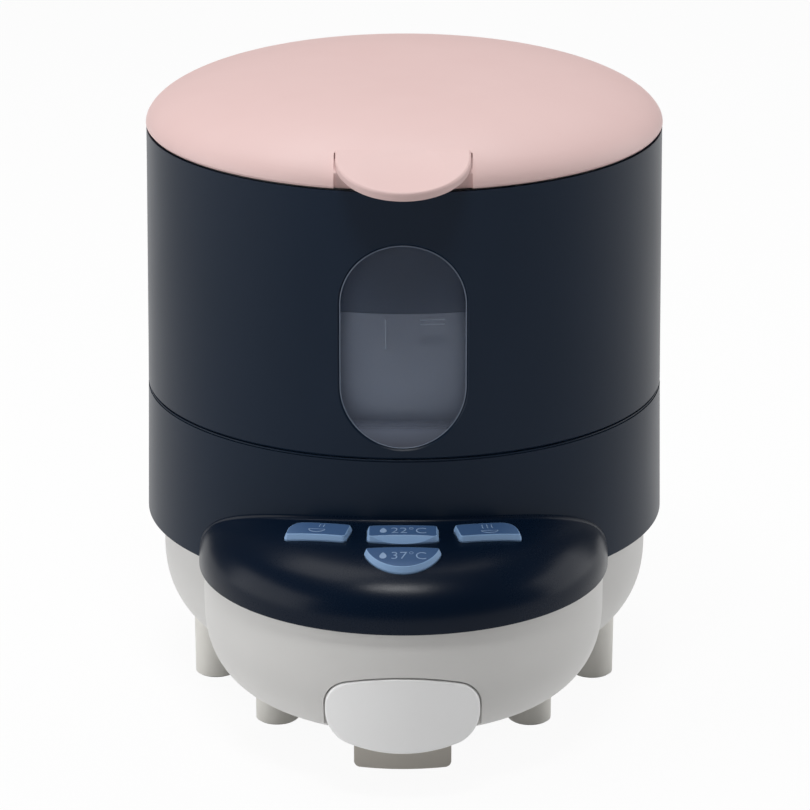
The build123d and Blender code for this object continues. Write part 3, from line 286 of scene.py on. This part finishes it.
finishes = {
    "lid_pink": moulded("lid_pink", (221, 192, 189), (217, 187, 184), 0.45, shine=0.30),
    "shell_navy": moulded("shell_navy", (22, 35, 52), (19, 32, 48), 0.34, shine=0.12),
    "console_navy": moulded("console_navy", (6, 21, 39), (5, 18, 35), 0.28, shine=0.14),
    "base_white": moulded("base_white", (214, 213, 211), (209, 208, 206), 0.45, shine=0.35),
    "foot_grey": moulded("foot_grey", (236, 234, 228), (230, 228, 222), 0.55, coarse_grain),
    "tab_white": moulded("tab_white", (243, 243, 243), (239, 239, 239), 0.30),
    "nozzle_grey": moulded("nozzle_grey", (186, 181, 173), (179, 174, 166), 0.60, coarse_grain),
    "button_blue": button_plastic_painted_edges(),
    "plastic_white": moulded("plastic_white", (222, 221, 216), (214, 213, 208), 0.45),
    "plastic_black": moulded("plastic_black", (26, 26, 28), (34, 34, 36), 0.45),
    "window_smoke": smoked(),
    "tank_clear": clear("tank_clear", (190, 206, 232), 0.14),
    "rubber_black": soft_rubber("rubber_black", (34, 34, 35)),
    "rubber_grey": soft_rubber("rubber_grey", (170, 167, 162)),
    "silicone": soft_rubber("silicone", (214, 212, 206), 0.5),
    "steel": metal("steel", (188, 190, 194), 0.22),
    "brass": metal("brass", (196, 164, 96), 0.25),
    "heater_aluminium": metal("heater_aluminium", (176, 178, 182), 0.38, (0.1, 0.1, 1)),
    "board_green": laminate(),
}
water_finish = clear("water", (222, 232, 250), 0.92)
print_finish = moulded("pale_print", (142, 168, 202), (136, 162, 197), 0.45)
level_finish = moulded("level_white", (200, 210, 226), (195, 205, 221), 0.5)
# painted highlight: pale colour for the bright line round the level window
painted_highlight_finish = moulded("painted_highlight_edge", (120, 132, 152), (114, 126, 146), 0.3)

for part in frame["record"]["subparts"]:
    item = nodes[part["node"]]
    item.data.materials.clear()
    item.data.materials.append(finishes[part["material_slot"]])


# ------------------------------------------------------------------ modelling by hand
def deselect():
    """Leaves edit mode and selects nothing."""
    if bpy.context.object and bpy.context.object.mode != "OBJECT":
        bpy.ops.object.mode_set(mode="OBJECT")
    bpy.ops.object.select_all(action="DESELECT")


def take(obj):
    """Makes obj the only selected object."""
    deselect()
    obj.select_set(True)
    bpy.context.view_layer.objects.active = obj
    return obj


def primitive(operator, name, **settings):
    """Adds a primitive and names it."""
    deselect()
    operator(**settings)
    made = bpy.context.object
    made.name = made.data.name = name
    return take(made)


def apply_place():
    """Moves the selected object's place, turn and scale into its mesh."""
    bpy.ops.object.transform_apply(location=True, rotation=True, scale=True)


def edit_all(obj):
    """Enters edit mode with all of obj selected."""
    take(obj)
    bpy.ops.object.mode_set(mode="EDIT")
    bpy.ops.mesh.select_all(action="SELECT")


def edit_faces(obj, wanted):
    """Enters edit mode with only the faces selected that wanted accepts."""
    take(obj)
    bpy.ops.object.mode_set(mode="EDIT")
    bpy.ops.mesh.select_mode(type="FACE")
    mesh = bmesh.from_edit_mesh(obj.data)
    for face in mesh.faces:
        face.select_set(bool(wanted(face)))
    bmesh.update_edit_mesh(obj.data)


def end_edit():
    bpy.ops.object.mode_set(mode="OBJECT")


def smooth(degrees):
    """Shades the selected object smooth, except over sharper edges than that."""
    bpy.ops.object.shade_smooth_by_angle(angle=radians(degrees))


def add_modifier(obj, kind, **settings):
    """Adds a modifier and applies it."""
    take(obj)
    made = obj.modifiers.new(kind.lower(), kind)
    for key, value in settings.items():
        setattr(made, key, value)
    bpy.ops.object.modifier_apply(modifier=made.name)


def thicken(line, width, resolution):
    """Turns a line into a bar of that width, round from a resolution of 1 on, as a mesh."""
    take(line)
    if line.type == "MESH":
        bpy.ops.object.convert(target="CURVE")
    line = bpy.context.object
    line.data.dimensions = "3D"
    line.data.bevel_depth = width / 2
    line.data.bevel_resolution = resolution
    bpy.ops.object.convert(target="MESH")
    return bpy.context.object


def settle(obj, finish, body):
    """Applies obj's place, and gives it its finish and its body."""
    take(obj)
    apply_place()
    obj.data.materials.clear()
    obj.data.materials.append(finish)
    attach(obj, body)


# ------------------------------------------------------------------ water in the tank
def make_water():
    """Body of water whose surface climbs a little at the tank's wall."""
    floor_gap, wall_gap = 0.0002, 0.0003
    depth = water_z - tank_floor_z - floor_gap
    water = primitive(
        bpy.ops.mesh.primitive_cylinder_add, "water", vertices=128, radius=tank_inner_r - wall_gap,
        depth=depth, location=(0, axis_y, tank_floor_z + floor_gap + depth / 2))
    edit_faces(water, lambda face: face.normal.z > 0.9)
    for inward, down in ((0.0012, 0.0008), (0.004, 0.0004)):      # the climb's two rings
        bpy.ops.mesh.inset(thickness=inward)
        bpy.ops.transform.translate(value=(0, 0, -down))
    end_edit()
    smooth(35)
    settle(water, water_finish, "tank")


def make_level_marks():
    """Moulded level lines on the clear tank's front."""
    front_r = tank_inner_r + 0.0021      # just outside the tank's wall
    depth, rounding = 0.0006, 0.00012
    for name, across, z, width, height in (
            ("level_line_upper", 0.0094, 0.1490, 0.0080, 0.0003),
            ("level_line_lower", 0.0094, 0.1474, 0.0080, 0.0003),
            ("level_stem", -0.0056, 0.1441, 0.0004, 0.0098)):
        line = primitive(bpy.ops.mesh.primitive_cube_add, name, size=1.0)
        bpy.ops.transform.resize(value=(width, depth, height))
        apply_place()
        turn = asin(across / front_r)
        line.location = (across, axis_y - front_r * cos(turn), z)
        line.rotation_euler.z = turn
        add_modifier(line, "BEVEL", width=rounding, segments=2)
        settle(line, level_finish, "tank")


# ------------------------------------------------------------------ trim on the tank and the lid
def make_window_edge():
    """Bead where the level window meets the shell, pale as a painted highlight line round the
    window.
    """
    low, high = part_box("tank_window")
    inset, bead_r, bead_gap, start_ahead = 0.00006, 0.00014, 0.00005, 0.01
    radius = (high.x - low.x) / 2 - inset
    low_centre_z = low.z + inset + radius
    straight = high.z - low.z - 2 * (inset + radius)      # between the two round ends
    edge = primitive(bpy.ops.mesh.primitive_circle_add, "window_edge", vertices=96, radius=radius,
                     rotation=(pi / 2, 0, 0), location=(0, low.y - start_ahead, low_centre_z))
    apply_place()
    for vertex in edge.data.vertices:
        if vertex.co.z > low_centre_z:
            vertex.co.z += straight
    edit_all(edge)
    bpy.ops.mesh.subdivide(number_cuts=7)
    end_edit()
    add_modifier(edge, "SHRINKWRAP", wrap_method="PROJECT", use_project_y=True,
                 use_negative_direction=False, use_positive_direction=True,
                 target=nodes["tank_window"], offset=bead_gap)
    bead = thicken(edge, 2 * bead_r, 3)
    smooth(50)
    settle(bead, painted_highlight_finish, "tank")


def top_of(name, x, y):
    """Height of a CAD node's top over the point x, y."""
    place = nodes[name].matrix_world
    back = place.inverted()
    _, point, _, _ = nodes[name].ray_cast(back @ Vector((x, y, 1)),
                                          back.to_3x3() @ Vector((0, 0, -1)))
    return (place @ point).z


def make_tab_fairing():
    """Thin fairing that closes the crease behind the finger tab."""
    back_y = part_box("lid_tab")[1].y
    front_y, tab_y, rear_y = back_y - 0.0050, back_y - 0.0012, back_y - 0.0005
    half_width, thickness = 0.0088, 0.0002
    sunk, proud = 0.00004, 0.00001      # under the tab in front, over the cover behind
    sheet = primitive(bpy.ops.mesh.primitive_grid_add, "tab_fairing", x_subdivisions=32,
                      y_subdivisions=24, size=2)
    for vertex in sheet.data.vertices:
        x, share = vertex.co.x * half_width, (vertex.co.y + 1) / 2
        low = top_of("lid_tab", x, front_y)
        slope = (top_of("lid_tab", x, tab_y) - low) / (tab_y - front_y)
        step = top_of("lid_cover", x, rear_y) - low - slope * (rear_y - front_y)
        y = front_y + share * (rear_y - front_y)
        blend = share * share * (3 - 2 * share)
        vertex.co = (x, y, low + slope * (y - front_y) - sunk + (step + sunk + proud) * blend)
    add_modifier(sheet, "SOLIDIFY", thickness=thickness, offset=-1)
    smooth(50)
    settle(sheet, finishes["lid_pink"], "lid")


def make_seam_bead():
    """Bead in the gap between the lower shell and the tank shell."""
    bead_r, depth = 0.0004, 0.0006
    bead = primitive(bpy.ops.mesh.primitive_torus_add, "seam_bead", major_radius=body_r - depth,
                     minor_radius=bead_r, major_segments=256, minor_segments=16,
                     location=(0, axis_y, seam_z))
    smooth(50)
    settle(bead, finishes["shell_navy"], "tank")


# ------------------------------------------------------------------ printed marks on the buttons
side_cap_x, side_cap_y = 0.0274, lobe_y - 0.0355
cap_places = {      # middle of the top, turn, body
    "button_warm_dish": (-side_cap_x, side_cap_y, -side_turn, "warm_dish_key"),
    "button_steam": (side_cap_x, side_cap_y, side_turn, "steam_key"),
    "button_22_degrees": (0.0, lobe_y - 0.0405, 0.0, "key_22"),
    "button_37_degrees": (0.0, lobe_y - 0.0534, 0.0, "key_37"),
}


def cap_matrix(cap, across, ahead):
    """Place over a button: X to the right, Z out along the press axis."""
    x, y, turn, _ = cap_places[cap]
    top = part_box(cap)[1].z
    tilt = Matrix.Rotation(press_tilt, 4, "X")
    return (Matrix.Translation((x, y, top)) @ tilt @ Matrix.Rotation(turn, 4, "Z")
            @ Matrix.Translation((across, ahead, print_start)))


def lay_on(mark, cap, across, ahead):
    """Drops a flat mark on to a button's top and gives it the print's thickness."""
    take(mark)
    bpy.ops.object.convert(target="MESH")
    edit_all(mark)
    bpy.ops.mesh.remove_doubles(threshold=weld)
    bpy.ops.mesh.quads_convert_to_tris()
    bpy.ops.mesh.subdivide(number_cuts=1)
    end_edit()
    mark.matrix_world = cap_matrix(cap, across, ahead) @ mark.matrix_world
    add_modifier(mark, "SHRINKWRAP", wrap_method="PROJECT", use_project_z=True,
                 use_negative_direction=True, use_positive_direction=False,
                 target=nodes[cap], offset=print_gap)
    add_modifier(mark, "SOLIDIFY", thickness=print_thickness, offset=0)
    settle(mark, print_finish, cap_places[cap][3])


def number_mark(cap, words, across, ahead):
    """Plain printed figures."""
    size, widening, thinning = 0.0047, 1.2, 0.00006
    text = primitive(bpy.ops.object.text_add, cap + "_figures")
    text.data.body = words
    text.data.size = size
    text.data.align_x, text.data.align_y = "LEFT", "CENTER"
    text.data.resolution_u = 4
    text.data.offset = -thinning
    text.scale.x = widening
    lay_on(text, cap, across, ahead)


def drop_mark(cap, across, ahead):
    """Filled water drop."""
    radius, taper, stretch = 0.00115, 0.35, 1.5
    drop = primitive(bpy.ops.mesh.primitive_circle_add, cap + "_drop", vertices=24, radius=radius,
                     fill_type="NGON")
    for vertex in drop.data.vertices:
        if vertex.co.y > 0:
            rise = vertex.co.y / radius
            vertex.co.x *= (1 - rise) ** taper if rise < 1 else 0
            vertex.co.y *= stretch
    lay_on(drop, cap, across, ahead)


def line_mark(line, cap, across, ahead, width):
    """Prints an outline as a line of that width."""
    flat = thicken(line, width, 0)
    apply_place()
    for vertex in flat.data.vertices:
        vertex.co.z = 0
    lay_on(flat, cap, across, ahead)


def steam_mark(cap, across, ahead, height):
    """One rising wave."""
    width, flattening = 0.00028, 0.9
    wave = primitive(bpy.ops.curve.primitive_bezier_curve_add, cap + "_steam", radius=height / 2,
                     rotation=(0, 0, pi / 2))
    bpy.ops.transform.resize(value=(flattening, 1, 1))
    apply_place()
    line_mark(wave, cap, across, ahead, width)


def dish_mark(cap, ahead, width, depth):
    """Shallow dish seen from the side."""
    line_width = 0.00026
    dish = primitive(bpy.ops.mesh.primitive_circle_add, cap + "_dish", vertices=32,
                     radius=width / 2, fill_type="NGON")
    edit_all(dish)
    bpy.ops.mesh.bisect(plane_co=(0, 0, 0), plane_no=(0, 1, 0), clear_outer=True, use_fill=False)
    bpy.ops.mesh.select_all(action="SELECT")
    bpy.ops.transform.resize(value=(1, 2 * depth / width, 1))
    bpy.ops.mesh.delete(type="ONLY_FACE")
    end_edit()
    line_mark(dish, cap, 0.0, ahead, line_width)


def make_prints():
    """All marks, placed across and ahead of the middle of each button's top."""
    figures_across, drop_across = -0.0040, -0.0063
    for cap, words, ahead in (("button_22_degrees", "22°C", -0.0004),
                              ("button_37_degrees", "37°C", -0.0006)):
        number_mark(cap, words, figures_across, ahead)
        drop_mark(cap, drop_across, ahead)
    # the waves' places across, how far ahead and how high they are; the dish's ahead, width, depth
    for cap, waves, ahead, height, dish in (
            ("button_steam", (-0.0016, 0.0, 0.0016), 0.0005, 0.0021, (-0.0011, 0.0056, 0.0012)),
            ("button_warm_dish", (0.0004, 0.0018), 0.0009, 0.0014, (-0.0006, 0.0054, 0.0016))):
        for across in waves:
            steam_mark(cap, across, ahead, height)
        dish_mark(cap, *dish)


make_water()
make_window_edge()
make_tab_fairing()
make_seam_bead()
make_level_marks()
make_prints()


# ------------------------------------------------------------------ stage, light and camera
def make_floor():
    """Plain floor that looks white and keeps the object's shadow."""
    grey, white_share = 0.82, 0.94
    floor = primitive(bpy.ops.mesh.primitive_plane_add, "floor", size=8.0)
    finish = Finish("floor_white")
    path = finish.tree.nodes.new("ShaderNodeLightPath")
    camera_ray, mirrored, passed = (
        Value(finish, path.outputs[name])
        for name in ("Is Camera Ray", "Is Glossy Ray", "Is Transmission Ray"))
    seen = camera_ray.largest(mirrored).largest(passed)
    dull = finish.node("ShaderNodeBsdfDiffuse", {"Color": (grey, grey, grey)})
    white = finish.node("ShaderNodeEmission", {"Color": (1, 1, 1), "Strength": 1.0})
    shader = finish.node("ShaderNodeMixShader", {0: seen * white_share, 1: dull, 2: white})
    floor.data.materials.append(finish.close(shader))


def make_world(fill):
    """Even fill light."""
    world = bpy.data.worlds.new("studio")
    bpy.context.scene.world = world
    world.use_nodes = True
    sky = world.node_tree.nodes["Background"]
    sky.inputs["Color"].default_value = (1, 1, 1, 1)
    sky.inputs["Strength"].default_value = fill


def make_lamps():
    """Soft lamps, all aimed at the middle of the object: place, size in metres, watts."""
    aim = Vector((0, 0, 0.1))
    for name, place, size, power in (
            ("top", (-0.2, 0.4, 1.5), (1.5, 0.8), 13),
            ("spot", (-0.05, -0.50, 1.35), (0.45, 0.16), 7.5),
            ("left", (-1.45, -0.25, 0.35), (1.5, 1.0), 11),
            ("right", (1.3, 0.35, 0.4), (1.1, 1.0), 7)):
        data = bpy.data.lights.new(name, "AREA")
        data.shape = "RECTANGLE"
        data.size, data.size_y = size
        data.energy = power
        lamp = bpy.data.objects.new(name, data)
        bpy.context.scene.collection.objects.link(lamp)
        lamp.location = place
        lamp.rotation_euler = (aim - Vector(place)).to_track_quat("-Z", "Y").to_euler()


def make_camera():
    """Camera in front and above, turned to the round body's axis."""
    reach, height = 1.32608, 0.548
    yaw, dip = radians(0.27), 18.994      # dip in degrees
    data = bpy.data.cameras.new("camera")
    data.sensor_width = 36.0
    data.lens = 181.23
    data.shift_x = 0.00086
    camera = bpy.data.objects.new("camera", data)
    bpy.context.scene.collection.objects.link(camera)
    camera.location = (reach * sin(yaw), axis_y - reach * cos(yaw), height)
    camera.rotation_euler = (radians(90 - dip), 0, yaw)
    bpy.context.scene.camera = camera


make_floor()
make_world(0.11)
make_lamps()
make_camera()
bpy.context.scene.view_settings.view_transform = "Standard"

deselect()
